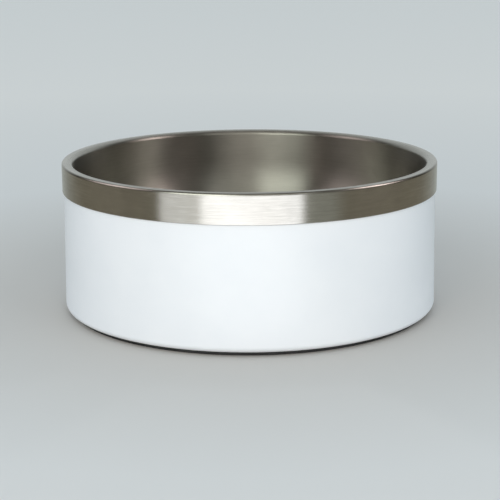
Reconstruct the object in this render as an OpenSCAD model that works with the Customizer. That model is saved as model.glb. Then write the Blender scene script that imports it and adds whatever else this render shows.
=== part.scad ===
/* [Rim] */
// Diameter over the rim band
rim_d = 208; // [140:1:280]
// Height from the floor to the top of the lip
bowl_h = 84; // [50:1:140]
// Height of the bare band that is folded down over the outer wall
band_h = 16; // [6:0.2:30]
// Width of the lip, from the band's face to the inside of the bowl
lip_w = 6.2; // [5.6:0.1:12]
// Bend radius where the inner wall turns out into the lip, on the hidden side
lip_inner_bend = 1.8; // [0.5:0.1:2.4]
// Bend radius where the lip turns down into the band, on the hidden side
lip_outer_bend = 0.5; // [0.3:0.1:1]

/* [Sheet] */
// Thickness of the steel sheet of both walls
sheet_t = 0.8; // [0.5:0.1:1]
// Gap between the lower edge of the band and the painted wall behind it
band_gap = 0.1; // [0.05:0.05:0.3]
// Gap between the lip and the top edge of the outer wall
seat_gap = 0.1; // [0.05:0.05:0.3]

/* [Inner bowl] */
// Radius between the inner wall and the floor, on the food side
floor_corner_r = 55; // [10:0.5:60]
// Air gap under the floor of the inner bowl
floor_gap = 3; // [1:0.5:10]

/* [Outer shell] */
// Lean of the painted wall in degrees, which is wider at its foot
wall_lean = 0.8; // [0:0.1:2.5]
// Radius at the foot of the painted wall, outside
foot_corner_r = 3; // [1.5:0.1:8]
// Width of the flat foot, between its two bends
foot_w = 11; // [6:0.5:30]
// How far the middle of the base is raised above the foot
recess_h = 3.2; // [2.8:0.1:10]
// Bend radius of the step round the raised middle, on the concave side
step_bend = 0.8; // [0.4:0.1:1]

/* [Rim seal] */
// Depth of the sealing bead under the lip
seal_h = 3; // [1.5:0.1:6]
// Gap between the bead and the walls on both sides of it
seal_gap = 0.1; // [0.05:0.05:0.2]
// Radius on the lower edges of the bead
seal_edge_r = 0.4; // [0.2:0.1:0.7]

/* [Non-slip ring] */
// Thickness of the ring under the foot, which is how high the foot stands
ring_t = 2.2; // [1.4:0.1:6]
// How far the ring's edge stays inside the widest place of the foot
ring_setback = 4; // [3:0.1:8]
// Thickness of the upright collar that plugs into the raised middle
collar_t = 2.4; // [1.2:0.1:4]
// Height of the collar above the foot
collar_h = 2; // [1:0.1:2.2]
// Gap between the collar and the step that it plugs into
collar_gap = 0.3; // [0.2:0.05:0.6]
// Radius on the edges of the ring and of its collar
ring_edge_r = 0.7; // [0.3:0.1:1.2]

/* [Hidden] */
$fn = 160;

// Radii that follow from an angle are rounded, so that faces which should meet do meet
function hundredths(size) = round(100 * size) / 100;

rim_r = rim_d / 2;
bowl_r = rim_r - lip_w;
lip_under_z = bowl_h - sheet_t;
band_low_z = bowl_h - band_h;

shell_r = rim_r - sheet_t - band_gap;
shell_top_z = lip_under_z - seat_gap;
foot_bend = foot_corner_r - sheet_t;
foot_corner_z = ring_t + foot_corner_r;
shell_edge_z = shell_top_z - sheet_t / 2;
shell_edge_r = hundredths(shell_r - (shell_edge_z - band_low_z) * tan(wall_lean));
shell_foot_r = hundredths(shell_r + (band_low_z - foot_corner_z) * tan(wall_lean));
foot_outer_r = shell_foot_r - foot_corner_r;
foot_inner_r = foot_outer_r - foot_w;
recess_r = foot_inner_r - step_bend - sheet_t;
panel_z = ring_t + recess_h;
floor_z = panel_z + sheet_t + floor_gap + sheet_t;
// A low bowl gets a smaller bend, so that its wall keeps a straight part under the lip
floor_bend = min(floor_corner_r, lip_under_z - lip_inner_bend - floor_z - 5, bowl_r - 5);

seal_outer_r = shell_edge_r - sheet_t - seal_gap;
seal_inner_r = bowl_r + sheet_t + lip_inner_bend + seal_gap;
ring_r = shell_foot_r - ring_setback;
collar_r = recess_r - collar_gap;
ring_hole_r = collar_r - collar_t;

STEEL = "#b9b6ae";
WHITE = "#f4f6fa";
GREY = "#8f9296";
BLACK = "#1c1c1e";

// A flat run of sheet in the half section, x is the radius and y the height
module run(from, to) {
    translate(from) square(to - from);
}

// A bend of the sheet round a centre, between two directions in degrees
module bend(centre, inside_r, start, end) {
    outside_r = inside_r + sheet_t;
    rays = [for (turn = [start, (start + end) / 2, end]) [cos(turn), sin(turn)]];
    translate(centre) intersection() {
        difference() {
            circle(outside_r);
            circle(inside_r);
        }
        polygon(concat([[0, 0]], 2 * outside_r * rays));
    }
}

// The rounded cut edge of the sheet
module sheet_edge(centre) {
    translate(centre) circle(sheet_t / 2);
}

// A solid bar of the half section with its two lower edges rounded, as far as its width allows
module round_bar(from, to, edge_r) {
    r = min(edge_r, 0.4 * (to.x - from.x));
    run([from.x + r, from.y], [to.x - r, to.y]);
    run([from.x, from.y + r], to);
    for (edge_x = [from.x + r, to.x - r])
        translate([edge_x, from.y + r]) circle(r);
}

// Floor, wall, lip and band are drawn from one sheet
module inner_bowl_section() {
    wall_r = bowl_r + sheet_t;
    corner = [bowl_r - floor_bend, floor_z + floor_bend];
    inner_bend = [wall_r + lip_inner_bend, lip_under_z - lip_inner_bend];
    outer_bend = [rim_r - sheet_t - lip_outer_bend, lip_under_z - lip_outer_bend];
    band_edge = [rim_r - sheet_t / 2, band_low_z + sheet_t / 2];
    run([0, floor_z - sheet_t], [corner.x, floor_z]);
    bend(corner, floor_bend, -90, 0);
    run([bowl_r, corner.y], [wall_r, inner_bend.y]);
    bend(inner_bend, lip_inner_bend, 90, 180);
    run([inner_bend.x, lip_under_z], [outer_bend.x, bowl_h]);
    bend(outer_bend, lip_outer_bend, 0, 90);
    run([rim_r - sheet_t, band_edge.y], [rim_r, outer_bend.y]);
    sheet_edge(band_edge);
}

// A run of sheet that leans from one radius and height to another, both on its outer face
module leaning_run(from, to) {
    inward = [sheet_t, 0];
    polygon([from, to, to - inward, from - inward]);
}

// The wall, the foot and the raised middle are drawn from one sheet
module outer_shell_section() {
    foot_top_z = ring_t + sheet_t;
    corner = [foot_outer_r, foot_corner_z];
    step_foot = [foot_inner_r, foot_top_z + step_bend];
    step_top = [recess_r - step_bend, panel_z - step_bend];
    sheet_edge([shell_edge_r - sheet_t / 2, shell_edge_z]);
    leaning_run([shell_foot_r, foot_corner_z], [shell_edge_r, shell_edge_z]);
    bend(corner, foot_bend, -90, 0);
    run([foot_inner_r, ring_t], [foot_outer_r, foot_top_z]);
    bend(step_foot, step_bend, 180, 270);
    run([recess_r, step_foot.y], [recess_r + sheet_t, step_top.y]);
    bend(step_top, step_bend, 0, 90);
    run([0, panel_z], [step_top.x, panel_z + sheet_t]);
}

// A bead that fills the top of the pocket and lies against the underside of the lip
module rim_seal_section() {
    round_bar([seal_inner_r, lip_under_z - seal_h], [seal_outer_r, lip_under_z], seal_edge_r);
}

// A flat ring under the foot with a collar that plugs into the raised middle
module non_slip_ring_section() {
    collar_top_z = ring_t + collar_h;
    round_bar([ring_hole_r, 0], [ring_r, ring_t], ring_edge_r);
    translate([0, collar_top_z]) mirror([0, 1])
        round_bar([ring_hole_r, 0], [collar_r, collar_top_z - ring_edge_r], ring_edge_r);
}

module inner_bowl() {
    color(STEEL) rotate_extrude() inner_bowl_section();
}

module outer_shell() {
    color(WHITE) rotate_extrude() outer_shell_section();
}

module rim_seal() {
    color(GREY) rotate_extrude() rim_seal_section();
}

module non_slip_ring() {
    color(BLACK) rotate_extrude() non_slip_ring_section();
}

inner_bowl();
outer_shell();
rim_seal();
non_slip_ring();
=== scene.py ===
from math import cos, hypot, pi, radians, sin

import bpy
import bmesh
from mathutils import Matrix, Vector


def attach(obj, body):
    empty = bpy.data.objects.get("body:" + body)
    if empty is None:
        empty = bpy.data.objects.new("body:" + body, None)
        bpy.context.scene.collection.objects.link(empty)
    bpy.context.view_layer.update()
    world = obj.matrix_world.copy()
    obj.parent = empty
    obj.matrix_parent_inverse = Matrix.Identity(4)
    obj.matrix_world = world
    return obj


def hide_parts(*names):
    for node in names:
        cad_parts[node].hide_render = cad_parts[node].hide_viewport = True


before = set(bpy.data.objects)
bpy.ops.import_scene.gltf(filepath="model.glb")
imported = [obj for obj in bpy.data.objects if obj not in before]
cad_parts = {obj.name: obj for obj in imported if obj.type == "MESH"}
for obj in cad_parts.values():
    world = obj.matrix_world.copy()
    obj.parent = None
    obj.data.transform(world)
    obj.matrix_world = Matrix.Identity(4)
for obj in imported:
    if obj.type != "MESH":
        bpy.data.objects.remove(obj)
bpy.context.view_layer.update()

mm = 0.001
print("frame loaded:", sorted(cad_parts))


# Drawing a half section in millimetres and spinning it round the bowl's axis

lathe = {
    "nearEnd": 0.25,  # how far from its ends a wall gets an extra point
    "mergeWithin": 0.002,
    "smoothDegrees": 40,
}

pen = {"r": 0.0, "z": 0.0}


def startSection(name, r, z):
    bpy.ops.object.select_all(action="DESELECT")
    bpy.ops.mesh.primitive_plane_add(size=mm, location=(r * mm, 0, z * mm))
    piece = bpy.context.object
    piece.name = name
    piece.data.name = name
    bpy.ops.object.transform_apply(location=True, rotation=True, scale=True)
    bpy.ops.object.mode_set(mode="EDIT")
    bpy.ops.mesh.select_mode(type="VERT")
    bpy.ops.mesh.select_all(action="SELECT")
    bpy.ops.mesh.merge(type="CENTER")  # the plane shrinks to the first point
    pen["r"], pen["z"] = r, z
    return piece


def drawTo(r, z):
    step = ((r - pen["r"]) * mm, 0, (z - pen["z"]) * mm)
    bpy.ops.mesh.extrude_region_move(TRANSFORM_OT_translate={"value": step})
    pen["r"], pen["z"] = r, z


def drawRun(r, z, parts=1):
    fromR, fromZ = pen["r"], pen["z"]
    for k in range(1, parts + 1):
        drawTo(fromR + (r - fromR) * k / parts, fromZ + (z - fromZ) * k / parts)


# A wall has a point close to each end, so that the shading of a bend stays in the bend
def drawWall(r, z, parts):
    fromR, fromZ = pen["r"], pen["z"]
    share = lathe["nearEnd"] / hypot(r - fromR, z - fromZ)
    nearR, nearZ = (r - fromR) * share, (z - fromZ) * share
    drawTo(fromR + nearR, fromZ + nearZ)
    drawRun(r - nearR, z - nearZ, parts)
    drawTo(r, z)


def drawBend(centreR, centreZ, radius, fromDeg, toDeg, parts):
    for k in range(1, parts + 1):
        turn = radians(fromDeg + (toDeg - fromDeg) * k / parts)
        drawTo(centreR + radius * cos(turn), centreZ + radius * sin(turn))


def spinSection(steps):
    bpy.ops.mesh.select_all(action="SELECT")
    bpy.ops.mesh.spin(steps=steps, angle=2 * pi, center=(0, 0, 0), axis=(0, 0, 1))
    bpy.ops.mesh.select_all(action="SELECT")
    bpy.ops.mesh.remove_doubles(threshold=lathe["mergeWithin"] * mm)
    bpy.ops.mesh.normals_make_consistent(inside=False)
    bpy.ops.mesh.select_all(action="DESELECT")
    bpy.ops.object.mode_set(mode="OBJECT")
    bpy.ops.object.shade_smooth_by_angle(angle=radians(lathe["smoothDegrees"]))


def placePiece(piece, body, node, material):
    piece.data.materials.clear()
    piece.data.materials.append(material)
    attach(piece, body)
    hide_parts(node)
    print(node, "modelled:", len(piece.data.polygons), "faces")


# Shader helpers

def newMaterial(name):
    material = bpy.data.materials.new(name)
    material.use_nodes = True
    return material, material.node_tree.nodes, material.node_tree.links


# An output is linked to the socket, and a plain value is set on it
def feed(links, value, socket):
    if isinstance(value, bpy.types.NodeSocket):
        links.new(value, socket)
    elif socket.type == "RGBA":
        socket.default_value = (*value, 1)
    else:
        socket.default_value = value


def mathNode(nodes, links, operation, *values):
    node = nodes.new("ShaderNodeMath")
    node.operation = operation
    for socket, value in zip(node.inputs, values):
        feed(links, value, socket)
    return node.outputs[0]


def vectorNode(nodes, links, operation, *values):
    node = nodes.new("ShaderNodeVectorMath")
    node.operation = operation
    for socket, value in zip(node.inputs, values):
        feed(links, value, socket)
    return node.outputs["Value" if operation in ("LENGTH", "DISTANCE") else "Vector"]


def rampNode(nodes, links, source, stops):
    ramp = nodes.new("ShaderNodeValToRGB")
    elements = ramp.color_ramp.elements
    for element, (place, colour) in zip(elements, stops[:2]):
        element.position, element.color = place, (*colour, 1)
    for place, colour in stops[2:]:
        elements.new(place).color = (*colour, 1)
    links.new(source, ramp.inputs["Fac"])
    return ramp.outputs["Color"]


def rangeNode(nodes, links, source, low, high, start=0.0, end=1.0, kind="LINEAR"):
    node = nodes.new("ShaderNodeMapRange")
    node.interpolation_type = kind
    feed(links, source, node.inputs["Value"])
    feed(links, start, node.inputs["From Min"])
    feed(links, end, node.inputs["From Max"])
    feed(links, low, node.inputs["To Min"])
    feed(links, high, node.inputs["To Max"])
    return node.outputs["Result"]


def mixNode(nodes, links, share, first, second):
    node = nodes.new("ShaderNodeMixRGB")
    feed(links, share, node.inputs["Fac"])
    feed(links, first, node.inputs["Color1"])
    feed(links, second, node.inputs["Color2"])
    return node.outputs["Color"]


def bumpNode(nodes, links, height, strength, distance, normal=None):
    bump = nodes.new("ShaderNodeBump")
    feed(links, strength, bump.inputs["Strength"])
    feed(links, distance, bump.inputs["Distance"])
    links.new(height, bump.inputs["Height"])
    if normal is not None:
        links.new(normal, bump.inputs["Normal"])
    return bump.outputs["Normal"]


def noiseNode(nodes, links, place, scale, values):
    noise = nodes.new("ShaderNodeTexNoise")
    feed(links, place, noise.inputs["Vector"])
    feed(links, scale, noise.inputs["Scale"])
    feed(links, values["detail"], noise.inputs["Detail"])
    feed(links, values["roughness"], noise.inputs["Roughness"])
    return noise.outputs["Fac"]


def objectPlace(nodes):
    return nodes.new("ShaderNodeTexCoord").outputs["Object"]


# The way from the bowl's axis to a place, level, and its length
def fromAxis(nodes, links, place):
    level = vectorNode(nodes, links, "MULTIPLY", place, (1, 1, 0))
    return level, vectorNode(nodes, links, "LENGTH", level)


markNoise = {"detail": 3, "roughness": 0.6}


# Marks that run round the axis: the noise is stretched along the circle and fine across it
def buildTurnedMarks():
    group = bpy.data.node_groups.new("turnedMarks", "ShaderNodeTree")
    group.interface.new_socket(name="Place", in_out="INPUT", socket_type="NodeSocketVector")
    group.interface.new_socket(name="Around", in_out="INPUT", socket_type="NodeSocketFloat")
    group.interface.new_socket(name="Across", in_out="INPUT", socket_type="NodeSocketFloat")
    group.interface.new_socket(name="Marks", in_out="OUTPUT", socket_type="NodeSocketFloat")
    nodes, links = group.nodes, group.links
    given = nodes.new("NodeGroupInput")
    result = nodes.new("NodeGroupOutput")
    level, radius = fromAxis(nodes, links, given.outputs["Place"])
    along = nodes.new("ShaderNodeVectorMath")
    along.operation = "SCALE"
    links.new(vectorNode(nodes, links, "NORMALIZE", level), along.inputs[0])
    links.new(given.outputs["Around"], along.inputs["Scale"])
    split = nodes.new("ShaderNodeSeparateXYZ")
    links.new(given.outputs["Place"], split.inputs[0])
    section = mathNode(nodes, links, "ADD", split.outputs["Z"], radius)
    lift = nodes.new("ShaderNodeCombineXYZ")
    links.new(mathNode(nodes, links, "MULTIPLY", section, given.outputs["Across"]), lift.inputs["Z"])
    place = vectorNode(nodes, links, "ADD", along.outputs[0], lift.outputs[0])
    links.new(noiseNode(nodes, links, place, 1, markNoise), result.inputs["Marks"])
    return group


mottleNoise = {"detail": 4, "roughness": 0.55}


# Slow unevenness of a finish, in patches of a given size
def buildMottle():
    group = bpy.data.node_groups.new("mottle", "ShaderNodeTree")
    group.interface.new_socket(name="Place", in_out="INPUT", socket_type="NodeSocketVector")
    group.interface.new_socket(name="Per metre", in_out="INPUT", socket_type="NodeSocketFloat")
    group.interface.new_socket(name="Patches", in_out="OUTPUT", socket_type="NodeSocketFloat")
    nodes, links = group.nodes, group.links
    given = nodes.new("NodeGroupInput")
    result = nodes.new("NodeGroupOutput")
    patches = noiseNode(nodes, links, given.outputs["Place"], given.outputs["Per metre"], mottleNoise)
    links.new(patches, result.inputs["Patches"])
    return group


turnedMarks = buildTurnedMarks()
mottle = buildMottle()


def marksNode(nodes, links, place, around, across):
    node = nodes.new("ShaderNodeGroup")
    node.node_tree = turnedMarks
    feed(links, place, node.inputs["Place"])
    feed(links, around, node.inputs["Around"])
    feed(links, across, node.inputs["Across"])
    return node.outputs["Marks"]


def mottleNode(nodes, links, place, perMetre):
    node = nodes.new("ShaderNodeGroup")
    node.node_tree = mottle
    feed(links, place, node.inputs["Place"])
    feed(links, perMetre, node.inputs["Per metre"])
    return node.outputs["Patches"]


# Inner bowl: floor, wall, lip and folded band, drawn from one sheet

steel = {
    "rimTones": ((0.37, (0.51, 0.495, 0.465)), (0.63, (0.67, 0.655, 0.625))),
    # darker inside: partly a duller finish, partly painted shade in the hollow of the bowl
    "insideTonesWithShade": ((0.3, (0.38, 0.37, 0.345)), (0.7, (0.50, 0.49, 0.46))),
    "rimRough": (0.17, 0.25),
    "insideRough": (0.265, 0.33),
    "anisotropy": 0.87,
    "anisotropyTurn": 0.25,
    "markAround": 3.0,
    "markAcross": 3800.0,
    "markStrength": 0.6,
    "markHeight": 0.000012,
    "coarseAround": 9.0,
    "coarseAcross": 1300.0,
    "coarseShare": 0.7,
    "rippleAround": 13.0,
    "rippleAcross": 350.0,
    "rippleStrength": 1.0,
    "rippleHeight": 0.00002,
    "mottlePerMetre": 60.0,
    "shadeShare": 0.37,  # brings the sum of marks and patches back to about 0 to 1
    "brushFromR": 0.098,
    "brushToR": 0.103,
    "insideMarks": 0.2,
}


def buildSteel():
    material, nodes, links = newMaterial("brushedSteel")
    shader = nodes["Principled BSDF"]
    place = objectPlace(nodes)
    fine = marksNode(nodes, links, place, steel["markAround"], steel["markAcross"])
    coarse = marksNode(nodes, links, place, steel["coarseAround"], steel["coarseAcross"])
    coarse = mathNode(nodes, links, "MULTIPLY", coarse, steel["coarseShare"])
    marks = mathNode(nodes, links, "ADD", fine, coarse)
    patches = mottleNode(nodes, links, place, steel["mottlePerMetre"])
    shade = mathNode(nodes, links, "ADD", marks, patches)
    shade = mathNode(nodes, links, "MULTIPLY", shade, steel["shadeShare"])
    # The brush reaches the lip and the band, and the inside less
    radius = fromAxis(nodes, links, place)[1]
    rimPart = rangeNode(nodes, links, radius, 0.0, 1.0, steel["brushFromR"], steel["brushToR"])
    brushed = rangeNode(nodes, links, rimPart, steel["insideMarks"], 1.0)
    # The inside gets darker tones than the rim: partly a duller inside finish, partly painted shade that
    # darkens the hollow of the bowl
    insideToneWithShade = rampNode(nodes, links, shade, steel["insideTonesWithShade"])
    rimTone = rampNode(nodes, links, shade, steel["rimTones"])
    links.new(mixNode(nodes, links, rimPart, insideToneWithShade, rimTone), shader.inputs["Base Color"])
    insideRough = rangeNode(nodes, links, shade, *steel["insideRough"])
    rimRough = rangeNode(nodes, links, shade, *steel["rimRough"])
    links.new(rangeNode(nodes, links, rimPart, insideRough, rimRough), shader.inputs["Roughness"])
    ripple = marksNode(nodes, links, place, steel["rippleAround"], steel["rippleAcross"])
    ripple = mathNode(nodes, links, "MULTIPLY", ripple, brushed)
    rippled = bumpNode(nodes, links, ripple, steel["rippleStrength"], steel["rippleHeight"])
    height = mathNode(nodes, links, "MULTIPLY", marks, brushed)
    scored = bumpNode(nodes, links, height, steel["markStrength"], steel["markHeight"], rippled)
    links.new(scored, shader.inputs["Normal"])
    shader.inputs["Metallic"].default_value = 1
    shader.inputs["Anisotropic"].default_value = steel["anisotropy"]
    shader.inputs["Anisotropic Rotation"].default_value = steel["anisotropyTurn"]
    tangent = nodes.new("ShaderNodeTangent")
    tangent.direction_type = "RADIAL"
    tangent.axis = "Z"
    links.new(tangent.outputs["Tangent"], shader.inputs["Tangent"])
    return material


innerBowl = {
    "rimR": 104.0, "topZ": 84.0, "bandLowZ": 68.0, "sheet": 0.8,
    "bowlR": 97.8, "floorZ": 10.0, "floorBend": 55.0,
    "lipInnerBend": 2.6, "lipOuterBend": 1.3,
    "steps": 288,
}


def buildInnerBowl():
    sizes = innerBowl
    sheet = sizes["sheet"]
    rimR, topZ, bowlR, floorZ = sizes["rimR"], sizes["topZ"], sizes["bowlR"], sizes["floorZ"]
    floorBend, lipBend, rimBend = sizes["floorBend"], sizes["lipInnerBend"], sizes["lipOuterBend"]
    bendR, bendZ = bowlR - floorBend, floorZ + floorBend
    lipR, lipZ = bowlR + lipBend, topZ - lipBend
    outR, outZ = rimR - rimBend, topZ - rimBend
    edgeR, edgeZ = rimR - sheet / 2, sizes["bandLowZ"] + sheet / 2
    piece = startSection("InnerBowl", 0, floorZ)
    drawWall(bendR, floorZ, parts=10)
    drawBend(bendR, bendZ, floorBend, -90, 0, parts=28)
    drawWall(bowlR, lipZ, parts=4)
    drawBend(lipR, lipZ, lipBend, 180, 90, parts=12)
    drawWall(outR, topZ, parts=2)
    drawBend(outR, outZ, rimBend, 90, 0, parts=10)
    drawWall(rimR, edgeZ, parts=4)
    drawBend(edgeR, edgeZ, sheet / 2, 0, -180, parts=8)
    drawWall(rimR - sheet, outZ, parts=2)
    drawBend(outR, outZ, rimBend - sheet, 0, 90, parts=5)
    drawWall(lipR, topZ - sheet, parts=1)
    drawBend(lipR, lipZ, lipBend - sheet, 90, 180, parts=6)
    drawWall(bowlR + sheet, bendZ, parts=3)
    drawBend(bendR, bendZ, floorBend + sheet, 0, -90, parts=16)
    drawWall(0, floorZ - sheet, parts=4)
    spinSection(sizes["steps"])
    placePiece(piece, "bowl", "inner_bowl", buildSteel())


buildInnerBowl()


# Outer shell: leaning wall, foot and raised middle, drawn from one sheet and coated white

coat = {
    "tones": ((0.35, (0.85, 0.868, 0.89)), (0.65, (0.88, 0.893, 0.91))),
    "rough": (0.34, 0.44),
    "peelPerMetre": 750.0,
    "peelStrength": 0.5,
    "peelHeight": 0.00002,
    "mottlePerMetre": 25.0,
}


def buildCoat():
    material, nodes, links = newMaterial("whiteCoat")
    shader = nodes["Principled BSDF"]
    place = objectPlace(nodes)
    peel = mottleNode(nodes, links, place, coat["peelPerMetre"])
    patches = mottleNode(nodes, links, place, coat["mottlePerMetre"])
    links.new(rampNode(nodes, links, patches, coat["tones"]), shader.inputs["Base Color"])
    links.new(rangeNode(nodes, links, patches, *coat["rough"]), shader.inputs["Roughness"])
    peeled = bumpNode(nodes, links, peel, coat["peelStrength"], coat["peelHeight"])
    links.new(peeled, shader.inputs["Normal"])
    return material


outerShell = {
    "edgeR": 102.89, "edgeZ": 82.7, "footR": 103.98, "sheet": 0.8,
    "footZ": 2.2, "footBend": 3.0, "footInnerR": 89.98,
    "stepBend": 0.8, "panelZ": 5.4,
    "steps": 288,
}


def buildOuterShell():
    sizes = outerShell
    sheet = sizes["sheet"]
    edgeR, edgeZ, footR, footZ = sizes["edgeR"], sizes["edgeZ"], sizes["footR"], sizes["footZ"]
    footBend, footInnerR = sizes["footBend"], sizes["footInnerR"]
    stepBend, panelZ = sizes["stepBend"], sizes["panelZ"]
    bendR, bendZ = footR - footBend, footZ + footBend
    stepR = footInnerR - stepBend - sheet
    lowZ, highZ = footZ + sheet + stepBend, panelZ - stepBend
    highR = stepR - stepBend
    piece = startSection("OuterShell", 0, panelZ)
    drawWall(highR, panelZ, parts=6)
    drawBend(highR, highZ, stepBend, 90, 0, parts=8)
    drawRun(stepR, lowZ)
    drawBend(footInnerR, lowZ, stepBend + sheet, 180, 270, parts=10)
    drawWall(bendR, footZ, parts=2)
    drawBend(bendR, bendZ, footBend, -90, 0, parts=14)
    drawWall(edgeR, edgeZ, parts=8)
    drawBend(edgeR - sheet / 2, edgeZ, sheet / 2, 0, 180, parts=8)
    drawWall(footR - sheet, bendZ, parts=4)
    drawBend(bendR, bendZ, footBend - sheet, 0, -90, parts=8)
    drawWall(footInnerR, footZ + sheet, parts=2)
    drawBend(footInnerR, lowZ, stepBend, 270, 180, parts=6)
    drawRun(stepR + sheet, highZ)
    drawBend(highR, highZ, stepBend + sheet, 0, 90, parts=8)
    drawWall(0, panelZ + sheet, parts=4)
    spinSection(sizes["steps"])
    placePiece(piece, "bowl", "outer_shell", buildCoat())


buildOuterShell()


# Non-slip ring: flat under the foot, with a collar that plugs into the raised middle

rubber = {
    "tones": ((0.35, (0.012, 0.012, 0.013)), (0.7, (0.028, 0.028, 0.03))),
    "rough": (0.55, 0.75),
    "grainPerMetre": 2600.0,
    "grainStrength": 0.5,
    "grainHeight": 0.00004,
    "mottlePerMetre": 70.0,
}


def buildRubber():
    material, nodes, links = newMaterial("blackRubber")
    shader = nodes["Principled BSDF"]
    place = objectPlace(nodes)
    grain = mottleNode(nodes, links, place, rubber["grainPerMetre"])
    patches = mottleNode(nodes, links, place, rubber["mottlePerMetre"])
    links.new(rampNode(nodes, links, patches, rubber["tones"]), shader.inputs["Base Color"])
    links.new(rangeNode(nodes, links, grain, *rubber["rough"]), shader.inputs["Roughness"])
    grained = bumpNode(nodes, links, grain, rubber["grainStrength"], rubber["grainHeight"])
    links.new(grained, shader.inputs["Normal"])
    return material


nonSlipRing = {
    "outerR": 99.98, "holeR": 85.68, "collarR": 88.08,
    "thick": 2.2, "collarTopZ": 4.2, "edge": 0.7,
    "steps": 256,
}


def buildRing():
    sizes = nonSlipRing
    edge, thick, topZ = sizes["edge"], sizes["thick"], sizes["collarTopZ"]
    outerR, holeR, collarR = sizes["outerR"], sizes["holeR"], sizes["collarR"]
    piece = startSection("NonSlipRing", holeR, edge)
    drawBend(holeR + edge, edge, edge, 180, 270, parts=6)
    drawWall(outerR - edge, 0, parts=3)
    drawBend(outerR - edge, edge, edge, -90, 0, parts=6)
    drawRun(outerR, thick, parts=2)
    drawWall(collarR, thick, parts=3)
    drawRun(collarR, topZ - edge, parts=2)
    drawBend(collarR - edge, topZ - edge, edge, 0, 90, parts=6)
    drawWall(holeR + edge, topZ, parts=1)
    drawBend(holeR + edge, topZ - edge, edge, 90, 180, parts=6)
    drawWall(holeR, edge, parts=2)
    spinSection(sizes["steps"])
    placePiece(piece, "ring", "non_slip_ring", buildRubber())


buildRing()


# Rim seal: the CAD node stays, inside the double wall

seal = {
    "tones": ((0.3, (0.24, 0.245, 0.25)), (0.7, (0.33, 0.335, 0.345))),
    "rough": (0.6, 0.85),
    "grainPerMetre": 900.0,
    "grainStrength": 0.6,
    "grainHeight": 0.00008,
}


def buildSeal():
    material, nodes, links = newMaterial("sealCompound")
    shader = nodes["Principled BSDF"]
    place = objectPlace(nodes)
    grain = mottleNode(nodes, links, place, seal["grainPerMetre"])
    links.new(rampNode(nodes, links, grain, seal["tones"]), shader.inputs["Base Color"])
    links.new(rangeNode(nodes, links, grain, *seal["rough"]), shader.inputs["Roughness"])
    grained = bumpNode(nodes, links, grain, seal["grainStrength"], seal["grainHeight"])
    links.new(grained, shader.inputs["Normal"])
    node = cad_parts["rim_seal"]
    node.data.materials.clear()
    node.data.materials.append(material)
    print("rim_seal coloured")


buildSeal()


# Floor and backdrop

studio = {
    "floorSize": 80.0,
    # painted shadow darkens the floor close to the bowl, and painted light brightens it far off where the
    # lamp's light falls off
    "floorLightAndShadeTones": (
        (0.14, (0.57, 0.54, 0.505)),
        (0.32, (0.695, 0.675, 0.645)),
        (0.9, (0.80, 0.757, 0.705)),
    ),
    "floorMiddle": (0, 0.06, 0),
    "floorRough": 0.9,
    "floorSpecular": 0.1,
    "worldColour": (0.545, 0.632, 0.698),
    "worldStrength": 1.23,
    "backdropColour": (0.553, 0.605, 0.62),
}


def buildFloor():
    bpy.ops.object.select_all(action="DESELECT")
    bpy.ops.mesh.primitive_plane_add(size=studio["floorSize"], location=(0, 0, 0))
    floor = bpy.context.object
    floor.name = "Floor"
    material, nodes, links = newMaterial("paleFloor")
    shader = nodes["Principled BSDF"]
    away = vectorNode(nodes, links, "DISTANCE", objectPlace(nodes), studio["floorMiddle"])
    # The floor's tone follows the distance from the bowl: painted shade near it, painted light far off
    links.new(rampNode(nodes, links, away, studio["floorLightAndShadeTones"]), shader.inputs["Base Color"])
    shader.inputs["Roughness"].default_value = studio["floorRough"]
    shader.inputs["Specular IOR Level"].default_value = studio["floorSpecular"]
    floor.data.materials.append(material)
    print("floor laid")


buildFloor()


def buildWorld():
    world = bpy.data.worlds.new("studio")
    bpy.context.scene.world = world
    world.use_nodes = True
    nodes, links = world.node_tree.nodes, world.node_tree.links
    light = nodes["Background"]
    feed(links, studio["worldColour"], light.inputs["Color"])
    feed(links, studio["worldStrength"], light.inputs["Strength"])
    backdrop = nodes.new("ShaderNodeBackground")  # what is seen past the floor
    feed(links, studio["backdropColour"], backdrop.inputs["Color"])
    rays = nodes.new("ShaderNodeLightPath").outputs
    seen = mathNode(nodes, links, "MAXIMUM", rays["Is Camera Ray"], rays["Is Glossy Ray"])
    seen = mathNode(nodes, links, "MAXIMUM", seen, rays["Is Transmission Ray"])
    both = nodes.new("ShaderNodeMixShader")
    links.new(seen, both.inputs["Fac"])
    links.new(light.outputs[0], both.inputs[1])
    links.new(backdrop.outputs[0], both.inputs[2])
    links.new(both.outputs[0], nodes["World Output"].inputs["Surface"])
    print("world and backdrop set")


buildWorld()


# Glowing cards round the bowl that only its gloss sees, as in a light tent: each tone is a painted
# reflection, not a lamp

tent = {
    "radius": 0.42,
    "holeRadius": 0.15,
    "height": 0.5,
    "overFloor": 0.0005,
    "sides": 128,
    "rimRadius": 0.104,
    # The tent's own tones glow as painted reflections too: a dark room round the sides, a dark lid in
    # front and a paler lid at the back
    "clothReflection": (0.20, 0.185, 0.141),
    "lid": (0.11, 0.107, 0.095),
    "lidBack": (0.38, 0.385, 0.37),
    "lidFrom": -0.05,
    "lidTo": 0.3,
    "softHeight": 0.05,
}
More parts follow.
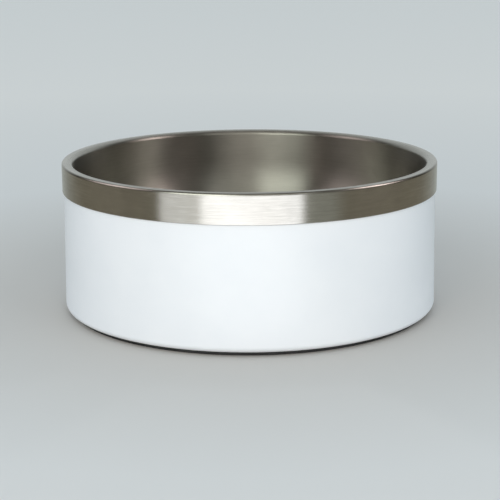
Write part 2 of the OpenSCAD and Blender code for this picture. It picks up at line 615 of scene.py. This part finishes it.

# Turn, width and soft edge are in degrees, with turn from the front towards +X, and heights in metres
# Later cards hang before earlier ones
# Each card glows with a painted tone that the steel shows only as a reflection, standing in for a dark
# room, pale paper and windows
cards = {
    "darkClothReflection": {"turn": 0, "width": 400, "soft": 1, "low": 0.075, "high": 1,
                  "tone": (0.05, 0.046, 0.038)},
    "backPaperReflection": {"turn": 180, "width": 54, "soft": 50, "low": 0.06, "high": 1,
                  "tone": (0.51, 0.54, 0.535)},
    "backFootReflection": {"turn": 180, "width": 44, "soft": 80, "low": -1, "high": 0.06,
                 "tone": (0.47, 0.515, 0.50)},
    "leftPaperReflection": {"turn": -41, "width": 27, "soft": 5, "low": -1, "high": 0.075,
                  "tone": (0.86, 0.87, 0.85)},
    "rightPaperReflection": {"turn": 41, "width": 27, "soft": 14, "low": -1, "high": 0.075,
                   "tone": (0.305, 0.312, 0.27)},
    "window": {"turn": 1.5, "width": 60, "soft": 6, "low": -1, "high": 0.075,
               "tone": (1.72, 1.75, 1.78)},
    "windowGlowReflection": {"turn": 5, "width": 60, "soft": 60, "low": 0.13, "high": 1,
                   "tone": (0.42, 0.435, 0.38)},
    "windowTopReflection": {"turn": -30, "width": 41, "soft": 20, "low": 0.12, "high": 0.36,
                  "tone": (1.85, 1.95, 1.71)},
    "sideWindowReflection": {"turn": 35, "width": 14, "soft": 20, "low": 0.28, "high": 1,
                   "tone": (0.75, 0.75, 0.70)},
    "sideGlowReflection": {"turn": 62, "width": 30, "soft": 30, "low": 0.13, "high": 1,
                 "tone": (0.16, 0.153, 0.138)},
    "leftCard": {"turn": 94, "width": 18, "soft": 38, "low": 0.22, "high": 1,
                 "tone": (3.8, 3.25, 3.1)},
    "rightCard": {"turn": -97, "width": 40, "soft": 34, "low": 0.18, "high": 1,
                  "tone": (1.15, 1.0, 0.965)},
}


def softStep(nodes, links, value, middle, half):
    return rangeNode(nodes, links, value, 0.0, 1.0, middle - half, middle + half, "SMOOTHSTEP")


def pinCard(nodes, links, behind, turn, height, card):
    apart = mathNode(nodes, links, "SUBTRACT", turn, radians(card["turn"]))
    apart = mathNode(nodes, links, "WRAP", apart, pi, -pi)
    apart = mathNode(nodes, links, "ABSOLUTE", apart)
    softEdge = tent["softHeight"] / 2
    beside = softStep(nodes, links, apart, radians(card["width"] / 2), radians(card["soft"] / 2))
    above = softStep(nodes, links, height, card["low"], softEdge)
    over = softStep(nodes, links, height, card["high"], softEdge)
    within = mathNode(nodes, links, "SUBTRACT", 1.0, beside)
    below = mathNode(nodes, links, "SUBTRACT", 1.0, over)
    mask = mathNode(nodes, links, "MULTIPLY", above, below)
    mask = mathNode(nodes, links, "MULTIPLY", within, mask)
    return mixNode(nodes, links, mask, behind, card["tone"])


def buildTentTones():
    material, nodes, links = newMaterial("tentTones")
    nodes.remove(nodes["Principled BSDF"])
    place = objectPlace(nodes)
    split = nodes.new("ShaderNodeSeparateXYZ")
    links.new(place, split.inputs[0])
    height = split.outputs["Z"]
    front = mathNode(nodes, links, "MULTIPLY", split.outputs["Y"], -1.0)
    turn = mathNode(nodes, links, "ARCTAN2", split.outputs["X"], front)
    # The turn is the direction in which the rim mirrors a card, which is more than its way round the axis
    nearness = mathNode(nodes, links, "DIVIDE", tent["rimRadius"] / 2, fromAxis(nodes, links, place)[1])
    turn = mathNode(nodes, links, "DIVIDE", turn, mathNode(nodes, links, "SUBTRACT", 1.0, nearness))
    turn = mathNode(nodes, links, "MAXIMUM", turn, -pi)
    turn = mathNode(nodes, links, "MINIMUM", turn, pi)
    tone = tent["clothReflection"]
    for card in cards.values():
        tone = pinCard(nodes, links, tone, turn, height, card)
    lidMiddle, lidHalf = (tent["lidTo"] + tent["lidFrom"]) / 2, (tent["lidTo"] - tent["lidFrom"]) / 2
    toBack = softStep(nodes, links, split.outputs["Y"], lidMiddle, lidHalf)
    lidTone = mixNode(nodes, links, toBack, tent["lid"], tent["lidBack"])
    onLid = mathNode(nodes, links, "GREATER_THAN", height, tent["height"] - mm)
    # The tent glows with these painted tones, which the steel shows as reflections
    glow = nodes.new("ShaderNodeEmission")
    links.new(mixNode(nodes, links, onLid, tone, lidTone), glow.inputs["Color"])
    links.new(glow.outputs["Emission"], nodes["Material Output"].inputs["Surface"])
    return material


def buildTent():
    bpy.ops.object.select_all(action="DESELECT")
    middle = (0, 0, tent["height"] / 2 + tent["overFloor"])
    bpy.ops.mesh.primitive_cylinder_add(vertices=tent["sides"], radius=tent["radius"],
                                        depth=tent["height"], location=middle)
    piece = bpy.context.object
    piece.name = "Tent"
    bpy.ops.object.transform_apply(location=True)
    bpy.ops.object.mode_set(mode="EDIT")
    bpy.ops.mesh.select_mode(type="FACE")
    bpy.ops.mesh.select_all(action="DESELECT")
    mesh = bmesh.from_edit_mesh(piece.data)
    for face in mesh.faces:
        face.select = face.normal.z < -0.5  # the face on the floor
    bmesh.update_edit_mesh(piece.data)
    bpy.ops.mesh.inset(thickness=tent["radius"] - tent["holeRadius"])
    bpy.ops.mesh.delete(type="FACE")  # open below, round the bowl
    bpy.ops.object.mode_set(mode="OBJECT")
    piece.data.materials.append(buildTentTones())
    piece.visible_camera = False
    piece.visible_diffuse = False
    piece.visible_transmission = False
    piece.visible_shadow = False
    print("tent set round the bowl with", len(cards), "cards")


buildTent()


lamps = {
    "window": {"place": (-0.3, -2.9, 1.05), "aim": (0, 0, 0.03), "size": (2.75, 2.0), "power": 42.0,
               "colour": (1.0, 0.91, 0.815)},
}


def buildLamp(name, place, aim, size, power, colour):
    data = bpy.data.lights.new(name, "AREA")
    data.shape = "RECTANGLE"
    data.size, data.size_y = size
    data.energy = power
    data.color = colour
    lamp = bpy.data.objects.new(name, data)
    bpy.context.collection.objects.link(lamp)
    lamp.location = place
    lamp.rotation_euler = (Vector(aim) - Vector(place)).to_track_quat("-Z", "Y").to_euler()
    lamp.visible_camera = False


for lampName, lampValues in lamps.items():
    buildLamp(lampName, **lampValues)
print("lamps placed:", len(lamps))


# Camera at the photo's angle

view = {
    "place": (0.087 * mm, -800 * mm, 222.585 * mm),
    "pitch": 0.23521,
    "roll": -0.00525,
    "focalPixels": 1453.04,
    "imagePixels": 500,
    "sensor": 36.0,
    "clipStart": 0.01,
}


def buildCamera():
    data = bpy.data.cameras.new("view")
    data.sensor_width = view["sensor"]
    data.lens = view["sensor"] * view["focalPixels"] / view["imagePixels"]
    data.clip_start = view["clipStart"]
    camera = bpy.data.objects.new("view", data)
    bpy.context.collection.objects.link(camera)
    camera.location = view["place"]
    camera.rotation_euler = (pi / 2 - view["pitch"], 0, 0)
    camera.rotation_euler.rotate_axis("Z", view["roll"])
    bpy.context.scene.camera = camera


buildCamera()
bpy.context.scene.view_settings.view_transform = "Standard"
print("camera set")
